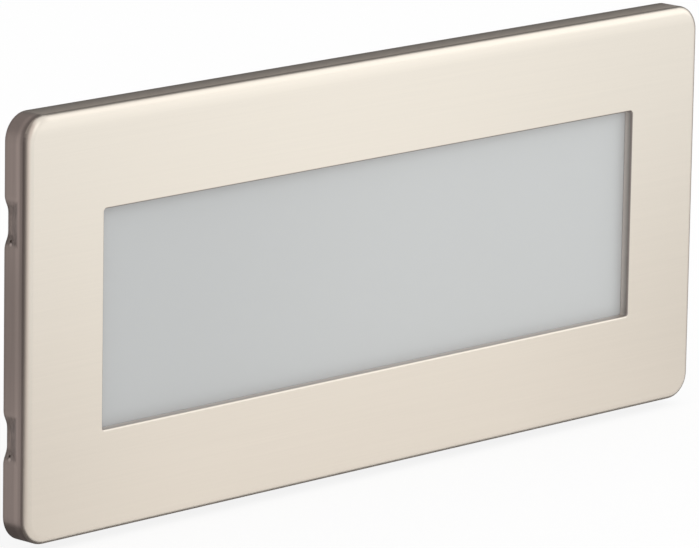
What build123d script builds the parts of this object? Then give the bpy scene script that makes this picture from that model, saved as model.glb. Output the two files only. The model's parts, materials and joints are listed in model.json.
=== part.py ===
"""Recessed wall light: a push-on face plate over a sealed, shallow LED light box.

Frame: +X along the plate, +Z up, the face looks along -Y and the wall's surface is the plane y = 0.
The origin is the middle of the four wall-screw holes, on the wall's surface. Millimetres.
"""
import os

from build123d import *

os.makedirs("parts", exist_ok=True)

# Face plate
plate_width = 240.0
plate_height = 105.0
plate_depth = 8.0
sheet = 1.0
bend_radius = 2.0
plate_corner_radius = 6.75
window_end_border = 25.3
window_side_border = 25.3
window_corner_radius = 0.7
window_edge_radius = 0.5
lip_wall = 1.0
lip_depth = 2.4

# Retaining dents in the plate's two end skirts
dent_edge_distance = 26.25
dent_flat = 4.4
dent_length = 13.4
dent_shoulder = 1.9
dent_slope_span = 2.0
dent_cut_over = 1.0
dent_depth = 1.2
dent_reach = 4.7
dent_front_slope = 3.4
dent_front_wall = 0.4
mark_radius = 0.3
mark_depth = 1.1
mark_from_wall = 1.6
mark_offset = 4.45

# Mounting frame
frame_side_clearance = 0.5
frame_front_clearance = 0.1
frame_corner_radius = 5.0
frame_front_chamfer = 1.0
pocket_corner_radius = 3.5
ledge_inset = 0.7
ledge_thickness = 4.5
ledge_corner_radius = 3.0
spigot_wall = 1.5
spigot_corner_radius = 5.0
notch_depth = 6.0
notch_length = 19.0

# Wall screws and wall gasket
wall_screw_end_inset = 7.5
wall_screw_side_inset = 8.0
wall_screw_hole_radius = 2.25
wall_screw_head_radius = 4.6
wall_screw_head_depth = 2.5
wall_boss_radius = 4.5
wall_gasket_thickness = 2.0
gasket_end_setback = 1.0
gasket_side_setback = 0.5
gasket_corner_radius = 4.5
gasket_inner_margin = 0.5
gasket_boss_clearance = 0.2
cutout_end_clearance = 1.0
cutout_clamp_clearance = 1.0
cutout_corner_radius = 3.0

# Lens, its gasket and its clips
lens_lip_clearance = 0.1
lens_thickness = 3.0
lens_overlap = 6.3
lens_side_clearance = 0.5
lens_corner_radius = 3.0
lens_chamfer = 0.4
lens_gasket_thickness = 1.0
lens_gasket_setback = 1.0
clip_x = 35.0
clip_width = 14.0
clip_thickness = 0.6
clip_corner_radius = 1.5
clip_lip_clearance = 1.3
clip_seat = 7.0
clip_screw_inset = 3.5
clip_screw_head_radius = 2.2
clip_screw_head_height = 0.7
clip_screw_recess = 0.4
clip_screw_radius = 1.2
clip_screw_length = 2.5
clip_clearance = 0.5

# Leaf springs
spring_width = 9.0
spring_thickness = 0.4
spring_bend = 0.7
spring_crest = 5.4
rivet_setback = 1.9
rivet_radius = 1.0
rivet_head_radius = 1.5
rivet_head_height = 0.8
rivet_length = 5.0

# Back box
box_gasket_thickness = 0.8
box_flange_thickness = 1.5
box_flange_reach = 5.0
box_depth = 15.2
box_corner_radius = 6.0
box_edge_radius = 2.0
box_wall = 2.0
box_back_wall = 2.5
box_screw_inset = 2.5
box_end_screw_spacing = 40.0
box_side_screw_spacing = 110.0
box_screw_radius = 1.25
box_screw_head_radius = 2.1
box_screw_head_height = 1.6
box_screw_depth = 3.2
fin_edge_distance = 5.0
fin_pitch = 5.0
fin_thickness = 2.0
fin_end_inset = 7.5
fin_height = 2.5
fin_cover_clearance = 4.0

# Cross recesses in the screw heads, as shares of each head's radius
cross_length_share = 1.15
cross_width_share = 0.24
cross_depth = 0.8

# Light engine
board_end_gap = 10.0
board_side_gap = 7.5
board_thickness = 1.6
board_corner_radius = 2.0
pad_thickness = 0.5
led_end_margin = 9.0
led_pitch = 14.0
led_hole_clearance = 0.9
led_length = 4.0
led_height = 1.4
led_thickness = 0.7
reflector_wall = 0.8
reflector_corner_radius = 3.0
reflector_setback = 0.5
reflector_ledge_clearance = 0.4
reflector_end_overlap = 2.0
reflector_side_overlap = 0.5
led_opening_margin = 0.6
lead_opening_length = 28.0
lead_opening_height = 10.8
board_screw_end_inset = 6.0
board_screw_side_inset = 9.0
board_screw_middle_inset = 7.0
board_screw_radius = 1.5
board_screw_head_radius = 2.75
board_screw_head_height = 1.7
board_thread_depth = 1.5
connector_length = 8.0
connector_height = 8.0
connector_depth = 4.0
connector_from_grommet = 14.0

# Lead-through
grommet_from_driver = 18.0
grommet_side_inset = 8.0
grommet_hole_radius = 4.0
grommet_flange_radius = 5.5
grommet_flange_thickness = 1.0
grommet_bore_radius = 2.4
board_hole_clearance = 0.7

# Wiring compartment
cover_side_inset = 3.5
cover_corner_radius = 5.0
cover_wall = 2.0
cover_ear_length = 11.0
cover_flange_thickness = 2.5
cover_seal_thickness = 0.8
cover_edge_radius = 1.5
cover_screw_from_wall = 5.5
cover_screw_side_inset = 7.0
cover_screw_radius = 1.5
cover_screw_head_radius = 2.7
cover_screw_head_height = 1.8
cover_rib_pitch = 16.0
cover_rib_width = 5.0
cover_rib_height = 1.2
cover_rib_inset = 7.0
cover_rib_end_margin = 18.0
rear_thread_depth = 1.8

# Driver, terminal block and earth point
driver_end_clearance = 4.0
driver_length = 52.0
driver_side_clearance = 6.0
driver_thickness = 17.0
driver_corner_radius = 2.0
driver_chamfer = 1.0
driver_ear_length = 4.0
driver_ear_height = 9.0
driver_ear_thickness = 2.0
driver_screw_radius = 1.25
driver_screw_head_radius = 1.9
driver_screw_head_height = 1.3
wiring_gap = 30.0
terminal_gland_clearance = 4.0
terminal_length = 16.0
terminal_height = 27.0
terminal_depth = 13.0
terminal_chamfer = 0.8
terminal_pitch = 8.7
terminal_z = -4.0
terminal_well_clearance = 0.15
terminal_well_depth = 4.0
terminal_screw_radius = 2.2
terminal_screw_length = 3.0
terminal_screw_sunk = 1.0
terminal_slot_width = 0.7
terminal_entry_radius = 1.5
terminal_entry_height = 7.0
earth_from_driver = 10.0
earth_side_inset = 12.0
earth_screw_radius = 1.75
earth_head_radius = 3.2
earth_head_height = 2.0
earth_lug_radius = 3.6
earth_lug_thickness = 0.8
earth_lug_clearance = 0.05
earth_tongue_width = 3.4
earth_tongue_end = 6.5
earth_barrel_start = 4.5
earth_barrel_length = 3.0
earth_barrel_radius = 1.7
earth_barrel_height = 1.3

# Leads
led_lead_radius = 0.8
led_lead_spacing = 2.6
led_lead_height = 11.0
led_lead_bend = 5.0
mains_lead_radius = 0.9
mains_lead_rise = 3.5
mains_lead_bend = 6.0
earth_lead_bend = 4.5
lead_hole_clearance = 0.1
lead_grip = 4.0

# Cable gland, on the +X end of the wiring compartment
gland_flange_clearance = 0.45
gland_wall_clearance = 0.75
gland_thread_radius = 6.0
gland_thread_end = 2.0
gland_thread_clearance = 0.05
gland_hole_clearance = 0.15
gland_hex_radius = 9.25
gland_hex_thickness = 5.0
gland_washer_thickness = 1.0
gland_washer_radius = 8.8
gland_locknut_thickness = 4.0
gland_bore_radius = 4.6
gland_seal_bore_radius = 3.25
gland_seal_start = 1.0
gland_collar_step = 0.6
gland_collar_length = 9.0
gland_cap_gap = 0.5
gland_cap_hex_length = 7.15
gland_cap_dome_length = 5.85
gland_cap_dome_radius = 7.9
gland_cap_edge_radius = 3.0
gland_cap_hole_clearance = 0.4

# Swing-out wall clamps
clamp_end_inset = 24.7
clamp_box_clearance = 0.5
clamp_screw_radius = 1.75
clamp_running_clearance = 0.08
clamp_head_radius = 3.2
clamp_head_height = 2.5
clamp_recess_radius = 3.7
clamp_recess_depth = 3.0
clamp_end_stop_radius = 2.4
clamp_end_stop_length = 1.5
clamp_screw_spare = 3.0
wing_front = 24.0
wing_thickness = 6.0
wing_half_width = 3.5
wing_reach = 14.0
wing_tooth_width = 1.2
wing_tooth_height = 1.0
wing_tooth_pitch = 2.4
stop_rib_gap = 0.4
stop_rib_thickness = 2.2
stop_rib_trim = 0.5
washer_radius = 3.6
washer_thickness = 0.8

# Sizes in the wall's plane, worked out from the plate and its window
half_plate = plate_width / 2
dent_slope_rise = dent_slope_span * dent_front_slope / dent_depth
window_width = plate_width - 2 * window_end_border
window_height = plate_height - 2 * window_side_border
lens_width = window_width + 2 * lens_overlap
lens_height = window_height + 2 * lens_overlap
pocket_width = lens_width + 2 * lens_side_clearance
pocket_height = lens_height + 2 * lens_side_clearance
ledge_width = window_width - 2 * ledge_inset
ledge_height = window_height - 2 * ledge_inset
spigot_width = pocket_width + 2 * spigot_wall
spigot_height = pocket_height + 2 * spigot_wall
frame_width = plate_width - 2 * (sheet + frame_side_clearance)
frame_height = plate_height - 2 * (sheet + frame_side_clearance)
notch_floor = frame_width / 2 - notch_depth
dent_z = plate_height / 2 - dent_edge_distance
wall_screw_x = frame_width / 2 - wall_screw_end_inset
wall_screw_z = frame_height / 2 - wall_screw_side_inset
clamp_x = window_width / 2 - clamp_end_inset
clamp_z = spigot_height / 2 + clamp_box_clearance + wing_half_width
cutout_width = spigot_width + 2 * cutout_end_clearance
cutout_height = 2 * (clamp_z + wing_half_width + cutout_clamp_clearance)
clip_inner_z = window_height / 2 + lip_wall + clip_lip_clearance
clip_outer_z = pocket_height / 2 + clip_seat
clip_screw_z = clip_outer_z - clip_screw_inset
box_width = spigot_width - 2 * box_flange_reach
box_height = spigot_height - 2 * box_flange_reach
box_screw_x = spigot_width / 2 - box_screw_inset
box_screw_z = spigot_height / 2 - box_screw_inset
cover_height = box_height - 2 * cover_side_inset
driver_height = cover_height - 2 * (cover_wall + driver_side_clearance)
board_width = box_width - 2 * board_end_gap
board_height = box_height - 2 * board_side_gap
reflector_back_width = board_width + 2 * reflector_end_overlap
reflector_back_height = board_height + 2 * reflector_side_overlap
reflector_front_width = ledge_width - 2 * reflector_ledge_clearance
reflector_front_height = ledge_height - 2 * reflector_ledge_clearance
board_screw_x = board_width / 2 - board_screw_end_inset
board_screw_z = board_height / 2 - board_screw_side_inset
board_screw_middle_z = board_height / 2 - board_screw_middle_inset
led_columns = int((board_width - 2 * led_end_margin) / led_pitch) + 1

# The wiring compartment's length is what its contents take up
driver_room = cover_wall + driver_end_clearance + driver_ear_length + driver_length
gland_room = terminal_gland_clearance + gland_thread_end + gland_locknut_thickness + cover_wall
cover_width = driver_room + wiring_gap + terminal_length + gland_room
cover_end = cover_width / 2
cover_flange_width = cover_width + 2 * cover_ear_length
driver_end = driver_room - cover_end
driver_x = driver_end - driver_length / 2
terminal_face = driver_end + wiring_gap
terminal_x = terminal_face + terminal_length / 2
grommet_x = driver_end + grommet_from_driver
grommet_z = board_height / 2 - grommet_side_inset
board_hole_radius = grommet_flange_radius + board_hole_clearance
led_row_z = grommet_z - board_hole_radius - led_hole_clearance - led_height / 2
connector_x = grommet_x + connector_from_grommet
earth_x = driver_end + earth_from_driver
earth_z = earth_side_inset - cover_height / 2
cover_screw_x = cover_end + cover_screw_from_wall
cover_screw_z = cover_height / 2 - cover_screw_side_inset

# Depths, from the face towards the back
frame_front = -plate_depth + sheet + frame_front_clearance
frame_back = -wall_gasket_thickness
lens_front = -plate_depth + lip_depth + lens_lip_clearance
lens_back = lens_front + lens_thickness
ledge_front = lens_back + lens_gasket_thickness
ledge_back = ledge_front + ledge_thickness
rivet_y = frame_back - rivet_setback
box_flange_front = ledge_back + box_gasket_thickness
box_flange_back = box_flange_front + box_flange_thickness
box_back = box_flange_front + box_depth
box_floor = box_back - box_back_wall
board_back = box_floor - pad_thickness
board_front = board_back - board_thickness
panel_front = board_front - reflector_wall
reflector_front = ledge_front + reflector_setback
lead_y = board_front - connector_depth / 2
cover_front = box_back + cover_seal_thickness
gland_y = cover_front + cover_flange_thickness + gland_hex_radius + gland_flange_clearance
cover_back = gland_y + gland_hex_radius + gland_wall_clearance + cover_wall
led_exit_y = box_back + led_lead_height
terminal_entry_y = box_back + terminal_entry_height
terminal_top = box_back + terminal_depth
earth_lug_back = box_back + earth_lug_thickness
earth_lead_y = earth_lug_back + earth_barrel_height
stop_rib_end = wing_front + wing_thickness
clamp_screw_end = stop_rib_end + clamp_screw_spare
head_back = frame_front + clamp_recess_depth

# Places of the repeated pieces
corners = [(-1, 1), (1, 1), (-1, -1), (1, -1)]
wall_screws = [(i * wall_screw_x, j * wall_screw_z) for i, j in corners]
clamps = [(i * clamp_x, j * clamp_z) for i, j in corners]
clips = [(i * clip_x, j) for i, j in corners]
clip_screws_at = [(x, side * clip_screw_z) for x, side in clips]
springs = [(i, j * dent_z) for i, j in corners]
box_screws_at = [(i * box_screw_x, j * box_end_screw_spacing / 2) for i, j in corners]
box_screws_at += [(i * box_side_screw_spacing / 2, j * box_screw_z) for i, j in corners]
board_screws_at = [(i * board_screw_x, j * board_screw_z) for i, j in corners]
board_screws_at += [(0.0, j * board_screw_middle_z) for j in (1, -1)]
led_columns_at = [(k - (led_columns - 1) / 2) * led_pitch for k in range(led_columns)]
led_at = [(x, z) for x in led_columns_at for z in (-led_row_z, led_row_z)]
fin_first = box_width / 2 - fin_edge_distance
fin_count = int((fin_first - cover_flange_width / 2 - fin_cover_clearance) / fin_pitch) + 1
fins_at = [(i * (fin_first - k * fin_pitch), 0.0) for k in range(fin_count) for i in (-1, 1)]
cover_screws_at = [(i * cover_screw_x, j * cover_screw_z) for i, j in corners]
cover_rib_count = int((cover_width - 2 * cover_rib_end_margin) / cover_rib_pitch) + 1
cover_ribs_at = [((k - (cover_rib_count - 1) / 2) * cover_rib_pitch, 0.0) for k in range(cover_rib_count)]
driver_screws_at = [(driver_x + i * (driver_length + driver_ear_length) / 2, 0.0) for i in (-1, 1)]
terminal_poles = [terminal_z + k * terminal_pitch for k in (-1, 0, 1)]
terminal_screws_at = [(terminal_x + i * terminal_length / 4, z) for i in (-1, 1) for z in terminal_poles]


def wall_plane(y):
    """The plane parallel to the wall at depth y: local axes X and Z, extruding towards the room."""
    return Plane.XZ.offset(-y)


def cross_recess(head_radius):
    """Sketch the crossed slots of a screw head's drive."""
    Rectangle(cross_length_share * head_radius, cross_width_share * head_radius)
    Rectangle(cross_width_share * head_radius, cross_length_share * head_radius)


def save(piece, name):
    """Label a finished piece and write its STEP file."""
    piece.part.label = name
    export_step(piece.part, f"parts/{name}.step")


# The metal that a dent presses in, drawn at the origin: the skirt's outer face is x = 0
with BuildPart() as dent_metal:
    with BuildSketch(wall_plane(0)):
        with BuildLine():
            Polyline((-sheet, -dent_length / 2), (-sheet / 2, -dent_length / 2),
                     (-sheet / 2, dent_length / 2), (-sheet, dent_length / 2))
            Bezier((-sheet, dent_length / 2), (-sheet, dent_length / 2 - dent_shoulder),
                   (-sheet - dent_depth, dent_flat / 2 + dent_shoulder), (-sheet - dent_depth, dent_flat / 2))
            Line((-sheet - dent_depth, dent_flat / 2), (-sheet - dent_depth, -dent_flat / 2))
            Bezier((-sheet - dent_depth, -dent_flat / 2),
                   (-sheet - dent_depth, -dent_flat / 2 - dent_shoulder),
                   (-sheet, dent_shoulder - dent_length / 2), (-sheet, -dent_length / 2))
        make_face()
    extrude(amount=dent_reach + 2 * dent_front_wall)
    with BuildSketch(Plane.XY):
        with BuildLine():
            Polyline((0, dent_cut_over), (-sheet - dent_slope_span, dent_cut_over),
                     (-sheet - dent_slope_span, dent_slope_rise - dent_reach - dent_front_wall),
                     (-sheet, -dent_reach - dent_front_wall), (0, -dent_reach - dent_front_wall), close=True)
        make_face()
    extrude(amount=dent_length, both=True, mode=Mode.INTERSECT)

# The hollow of a dent, seen from outside, with the small mark of the press tool in it
with BuildPart() as dent_hollow:
    with BuildSketch(wall_plane(dent_cut_over)):
        with BuildLine():
            Polyline((0, -dent_length / 2), (dent_cut_over, -dent_length / 2),
                     (dent_cut_over, dent_length / 2), (0, dent_length / 2))
            Bezier((0, dent_length / 2), (0, dent_length / 2 - dent_shoulder),
                   (-dent_depth, dent_flat / 2 + dent_shoulder), (-dent_depth, dent_flat / 2))
            Line((-dent_depth, dent_flat / 2), (-dent_depth, -dent_flat / 2))
            Bezier((-dent_depth, -dent_flat / 2), (-dent_depth, -dent_flat / 2 - dent_shoulder),
                   (0, dent_shoulder - dent_length / 2), (0, -dent_length / 2))
        make_face()
    extrude(amount=dent_reach + 2 * dent_cut_over)
    with BuildSketch(Plane.XY):
        with BuildLine():
            Polyline((dent_cut_over, dent_cut_over), (-dent_slope_span, dent_cut_over),
                     (-dent_slope_span, dent_slope_rise - dent_reach),
                     (dent_cut_over, -dent_reach - dent_slope_rise * dent_cut_over / dent_slope_span),
                     close=True)
        make_face()
    extrude(amount=dent_length, both=True, mode=Mode.INTERSECT)
    with BuildSketch(Plane.YZ):
        with Locations((-mark_from_wall, mark_offset)):
            Circle(mark_radius)
    extrude(amount=-mark_depth)

# Face plate: a pressed sheet tray with a drawn-in window
with BuildPart() as face_plate:
    with BuildSketch(wall_plane(0)):
        RectangleRounded(plate_width, plate_height, plate_corner_radius)
    extrude(amount=plate_depth)
    fillet(face_plate.faces().sort_by(Axis.Y)[0].edges(), radius=bend_radius)
    offset(amount=-sheet, openings=face_plate.faces().sort_by(Axis.Y)[-1])
    with BuildSketch(wall_plane(-plate_depth + lip_depth)):
        RectangleRounded(window_width + 2 * lip_wall, window_height + 2 * lip_wall,
                         window_corner_radius + lip_wall)
    extrude(amount=lip_depth - sheet / 2)
    with BuildSketch(wall_plane(0)):
        RectangleRounded(window_width, window_height, window_corner_radius)
    extrude(amount=plate_depth, mode=Mode.SUBTRACT)
    window_edges = face_plate.faces().sort_by(Axis.Y)[0].inner_wires()[0].edges()
    fillet(window_edges, radius=window_edge_radius)
    for side, height in springs:
        with Locations(Location((side * half_plate, 0, height), (0, 90 - 90 * side, 0))):
            add(dent_metal.part)
    for side, height in springs:
        with Locations(Location((side * half_plate, 0, height), (0, 90 - 90 * side, 0))):
            add(dent_hollow.part, mode=Mode.SUBTRACT)
save(face_plate, "face_plate")

# Mounting frame: rim inside the plate's skirt, lens pocket, screw bosses, spring notches, clamp stops
with BuildPart() as mounting_frame:
    with BuildSketch(wall_plane(frame_back)):
        RectangleRounded(frame_width, frame_height, frame_corner_radius)
    extrude(amount=frame_back - frame_front)
    chamfer(mounting_frame.faces().sort_by(Axis.Y)[0].edges(), length=frame_front_chamfer)
    with BuildSketch(wall_plane(ledge_back)):
        RectangleRounded(spigot_width, spigot_height, spigot_corner_radius)
    extrude(amount=ledge_back - frame_back)
    with BuildSketch(wall_plane(0)):
        with Locations(*wall_screws):
            Circle(wall_boss_radius)
    extrude(amount=-frame_back)
    with BuildSketch(wall_plane(stop_rib_end)):
        for x, z in clamps:
            side = x / abs(x)
            outward = z / abs(z)
            rib_x = x + side * (wing_half_width + stop_rib_gap + stop_rib_thickness / 2)
            with Locations((rib_x, z - outward * stop_rib_trim / 2)):
                Rectangle(stop_rib_thickness, 2 * wing_half_width - stop_rib_trim)
    extrude(amount=stop_rib_end - frame_back)
    with BuildSketch(wall_plane(ledge_front)):
        RectangleRounded(pocket_width, pocket_height, pocket_corner_radius)
    extrude(amount=ledge_front - frame_front, mode=Mode.SUBTRACT)
    with BuildSketch(wall_plane(ledge_back)):
        RectangleRounded(ledge_width, ledge_height, ledge_corner_radius)
    extrude(amount=ledge_back - ledge_front, mode=Mode.SUBTRACT)
    with BuildSketch(wall_plane(frame_back)):
        for side, height in springs:
            with Locations((side * (frame_width / 2), height)):
                Rectangle(2 * notch_depth, notch_length)
    extrude(amount=frame_back - frame_front, mode=Mode.SUBTRACT)
    with BuildSketch(wall_plane(lens_front)):
        for x, side in clips:
            with Locations((x, side * (pocket_height / 4 + clip_outer_z / 2 + clip_clearance / 2))):
                Rectangle(clip_width + 2 * clip_clearance, clip_outer_z + clip_clearance - pocket_height / 2)
    extrude(amount=lens_front - frame_front, mode=Mode.SUBTRACT)
    with BuildSketch(wall_plane(0)):
        with Locations(*wall_screws):
            Circle(wall_screw_hole_radius)
    extrude(amount=-frame_front, mode=Mode.SUBTRACT)
    with BuildSketch(wall_plane(frame_front + wall_screw_head_depth)):
        with Locations(*wall_screws):
            Circle(wall_screw_head_radius)
    extrude(amount=wall_screw_head_depth, mode=Mode.SUBTRACT)
    with BuildSketch(wall_plane(frame_back)):
        with Locations(*clamps):
            Circle(clamp_screw_radius + clamp_running_clearance)
    extrude(amount=frame_back - frame_front, mode=Mode.SUBTRACT)
    with BuildSketch(wall_plane(frame_front + clamp_recess_depth)):
        with Locations(*clamps):
            Circle(clamp_recess_radius)
    extrude(amount=clamp_recess_depth, mode=Mode.SUBTRACT)
    with BuildSketch(wall_plane(ledge_back)):
        with Locations(*box_screws_at):
            Circle(box_screw_radius)
    extrude(amount=box_screw_depth, mode=Mode.SUBTRACT)
    with BuildSketch(wall_plane(lens_front + clip_screw_length)):
        with Locations(*clip_screws_at):
            Circle(clip_screw_radius)
    extrude(amount=clip_screw_length, mode=Mode.SUBTRACT)
    for side, height in springs:
        with BuildSketch(Plane.YZ.offset(side * (notch_floor - rivet_length))):
            with Locations((rivet_y, height)):
                Circle(rivet_radius)
        extrude(amount=side * rivet_length, mode=Mode.SUBTRACT)
save(mounting_frame, "mounting_frame")

# Foam ring between the frame and the wall
with BuildPart() as wall_gasket:
    with BuildSketch(wall_plane(0)):
        RectangleRounded(frame_width - 2 * gasket_end_setback, frame_height - 2 * gasket_side_setback,
                         gasket_corner_radius)
        RectangleRounded(cutout_width + 2 * gasket_inner_margin, cutout_height + 2 * gasket_inner_margin,
                         cutout_corner_radius, mode=Mode.SUBTRACT)
        with Locations(*wall_screws):
            Circle(wall_boss_radius + gasket_boss_clearance, mode=Mode.SUBTRACT)
    extrude(amount=-frame_back)
save(wall_gasket, "wall_gasket")

# Frosted glass lens with eased edges
with BuildPart() as lens:
    with BuildSketch(wall_plane(lens_back)):
        RectangleRounded(lens_width, lens_height, lens_corner_radius)
    extrude(amount=lens_thickness)
    chamfer(lens.faces().sort_by(Axis.Y)[0].edges(), length=lens_chamfer)
save(lens, "lens")

# Soft ring between the lens and the frame's ledge
with BuildPart() as lens_gasket:
    with BuildSketch(wall_plane(ledge_front)):
        RectangleRounded(lens_width - 2 * lens_gasket_setback, lens_height - 2 * lens_gasket_setback,
                         lens_corner_radius)
        RectangleRounded(window_width, window_height, window_corner_radius + 1, mode=Mode.SUBTRACT)
    extrude(amount=ledge_front - lens_back)
save(lens_gasket, "lens_gasket")

# Four flat clips over the lens's long edges, and their low-headed screws
with BuildPart() as lens_clips:
    with BuildSketch(wall_plane(lens_front)):
        for x, side in clips:
            with Locations((x, side * (clip_inner_z + clip_outer_z) / 2)):
                RectangleRounded(clip_width, clip_outer_z - clip_inner_z, clip_corner_radius)
        with Locations(*clip_screws_at):
            Circle(clip_screw_radius, mode=Mode.SUBTRACT)
    extrude(amount=clip_thickness)
save(lens_clips, "lens_clips")

with BuildPart() as clip_screws:
    with BuildSketch(wall_plane(lens_front + clip_screw_length)):
        with Locations(*clip_screws_at):
            Circle(clip_screw_radius)
    extrude(amount=clip_screw_length + clip_thickness)
    with BuildSketch(wall_plane(lens_front - clip_thickness)):
        with Locations(*clip_screws_at):
            Circle(clip_screw_head_radius)
    extrude(amount=clip_screw_head_height)
    with BuildSketch(wall_plane(lens_front - clip_thickness - clip_screw_head_height + clip_screw_recess)):
        with Locations(*clip_screws_at):
            cross_recess(clip_screw_head_radius)
    extrude(amount=clip_screw_recess, mode=Mode.SUBTRACT)
save(clip_screws, "clip_screws")

# Leaf springs in the frame's end notches: each crest stands in front of a dent and yields to a pull
with BuildPart() as retaining_springs:
    for side, height in springs:
        with BuildSketch(Plane.XY.offset(height - spring_width / 2)):
            with BuildLine():
                FilletPolyline(
                    (side * (notch_floor + spring_thickness / 2), frame_back - 0.4),
                    (side * (notch_floor + spring_thickness / 2), frame_front + 0.8),
                    (side * (notch_floor + 2.6), frame_front + 0.4),
                    (side * (notch_floor + spring_crest), frame_front + 1.2),
                    (side * (notch_floor + 2.9), frame_back - 1.0),
                    radius=spring_bend,
                )
            trace(line_width=spring_thickness)
        extrude(amount=spring_width)
    for side, height in springs:
        with BuildSketch(Plane.YZ.offset(side * (notch_floor - 1))):
            with Locations((rivet_y, height)):
                Circle(rivet_radius)
        extrude(amount=side * 2, mode=Mode.SUBTRACT)
save(retaining_springs, "retaining_springs")

with BuildPart() as spring_rivets:
    for side, height in springs:
        with BuildSketch(Plane.YZ.offset(side * (notch_floor - rivet_length))):
            with Locations((rivet_y, height)):
                Circle(rivet_radius)
        extrude(amount=side * (rivet_length + spring_thickness))
        with BuildSketch(Plane.YZ.offset(side * (notch_floor + spring_thickness))):
            with Locations((rivet_y, height)):
                Circle(rivet_head_radius)
        extrude(amount=side * rivet_head_height)
save(spring_rivets, "spring_rivets")

# Gasket, pressed aluminium tray and its screws
with BuildPart() as box_gasket:
    with BuildSketch(wall_plane(box_flange_front)):
        RectangleRounded(spigot_width, spigot_height, spigot_corner_radius)
        RectangleRounded(ledge_width, ledge_height, ledge_corner_radius, mode=Mode.SUBTRACT)
        with Locations(*box_screws_at):
            Circle(box_screw_radius, mode=Mode.SUBTRACT)
    extrude(amount=box_gasket_thickness)
save(box_gasket, "box_gasket")

with BuildPart() as back_box:
    with BuildSketch(wall_plane(box_back)):
        RectangleRounded(box_width, box_height, box_corner_radius)
    extrude(amount=box_back - box_flange_front)
    fillet(back_box.faces().sort_by(Axis.Y)[-1].edges(), radius=box_edge_radius)
    with BuildSketch(wall_plane(box_back + fin_height)):
        with Locations(*fins_at):
            SlotOverall(box_height - 2 * fin_end_inset, fin_thickness, rotation=90)
    extrude(amount=fin_height)
    with BuildSketch(wall_plane(box_flange_back)):
        RectangleRounded(spigot_width, spigot_height, spigot_corner_radius)
    extrude(amount=box_flange_thickness)
    with BuildSketch(wall_plane(box_floor)):
        RectangleRounded(box_width - 2 * box_wall, box_height - 2 * box_wall, box_corner_radius - box_wall)
    extrude(amount=box_floor - box_flange_front, mode=Mode.SUBTRACT)
    with BuildSketch(wall_plane(box_flange_back)):
        with Locations(*box_screws_at):
            Circle(box_screw_radius)
    extrude(amount=box_flange_thickness, mode=Mode.SUBTRACT)
    with BuildSketch(wall_plane(box_back)):
        with Locations((grommet_x, grommet_z)):
            Circle(grommet_hole_radius)
    extrude(amount=box_back_wall, mode=Mode.SUBTRACT)
    with BuildSketch(wall_plane(box_floor + board_thread_depth)):
        with Locations(*board_screws_at):
            Circle(board_screw_radius)
    extrude(amount=board_thread_depth, mode=Mode.SUBTRACT)
    with BuildSketch(wall_plane(box_back)):
        with Locations(*cover_screws_at):
            Circle(cover_screw_radius)
        with Locations(*driver_screws_at):
            Circle(driver_screw_radius)
        with Locations((earth_x, earth_z)):
            Circle(earth_screw_radius)
    extrude(amount=rear_thread_depth, mode=Mode.SUBTRACT)
save(back_box, "back_box")

with BuildPart() as box_screws:
    with BuildSketch(wall_plane(box_flange_back)):
        with Locations(*box_screws_at):
            Circle(box_screw_radius)
    extrude(amount=box_flange_back - ledge_back + box_screw_depth)
    with BuildSketch(wall_plane(box_flange_back + box_screw_head_height)):
        with Locations(*box_screws_at):
            Circle(box_screw_head_radius)
    extrude(amount=box_screw_head_height)
    with BuildSketch(wall_plane(box_flange_back + box_screw_head_height)):
        with Locations(*box_screws_at):
            cross_recess(box_screw_head_radius)
    extrude(amount=cross_depth, mode=Mode.SUBTRACT)
save(box_screws, "box_screws")

# Light engine: pad, metal-core board, packages, white reflector pan, screws and connector
with BuildPart() as thermal_pad:
    with BuildSketch(wall_plane(box_floor)):
        RectangleRounded(board_width, board_height, board_corner_radius)
        with Locations(*board_screws_at):
            Circle(board_screw_radius, mode=Mode.SUBTRACT)
        with Locations((grommet_x, grommet_z)):
            Circle(board_hole_radius, mode=Mode.SUBTRACT)
    extrude(amount=pad_thickness)
save(thermal_pad, "thermal_pad")

with BuildPart() as led_board:
    with BuildSketch(wall_plane(board_back)):
        RectangleRounded(board_width, board_height, board_corner_radius)
        with Locations(*board_screws_at):
            Circle(board_screw_radius, mode=Mode.SUBTRACT)
        with Locations((grommet_x, grommet_z)):
            Circle(board_hole_radius, mode=Mode.SUBTRACT)
    extrude(amount=board_thickness)
save(led_board, "led_board")

with BuildPart() as leds:
    with BuildSketch(wall_plane(board_front)):
        with Locations(*led_at):
            Rectangle(led_length, led_height)
    extrude(amount=led_thickness)
save(leds, "leds")

with BuildPart() as reflector:
    with BuildSketch(wall_plane(board_front)):
        RectangleRounded(reflector_back_width, reflector_back_height, reflector_corner_radius)
    with BuildSketch(wall_plane(reflector_front)):
        RectangleRounded(reflector_front_width, reflector_front_height, reflector_corner_radius)
    loft()
    with BuildSketch(wall_plane(panel_front)):
        RectangleRounded(reflector_back_width - 2 * reflector_wall,
                         reflector_back_height - 2 * reflector_wall,
                         reflector_corner_radius - reflector_wall)
    with BuildSketch(wall_plane(reflector_front)):
        RectangleRounded(reflector_front_width - 2 * reflector_wall,
                         reflector_front_height - 2 * reflector_wall,
                         reflector_corner_radius - reflector_wall)
    loft(mode=Mode.SUBTRACT)
    with BuildSketch(wall_plane(board_front)):
        with Locations(*led_at):
            Rectangle(led_length + 2 * led_opening_margin, led_height + 2 * led_opening_margin)
        with Locations(*board_screws_at):
            Circle(board_screw_radius)
        with Locations(((grommet_x + connector_x) / 2, grommet_z)):
            RectangleRounded(lead_opening_length, lead_opening_height, board_corner_radius)
    extrude(amount=reflector_wall, mode=Mode.SUBTRACT)
save(reflector, "reflector")

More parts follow.
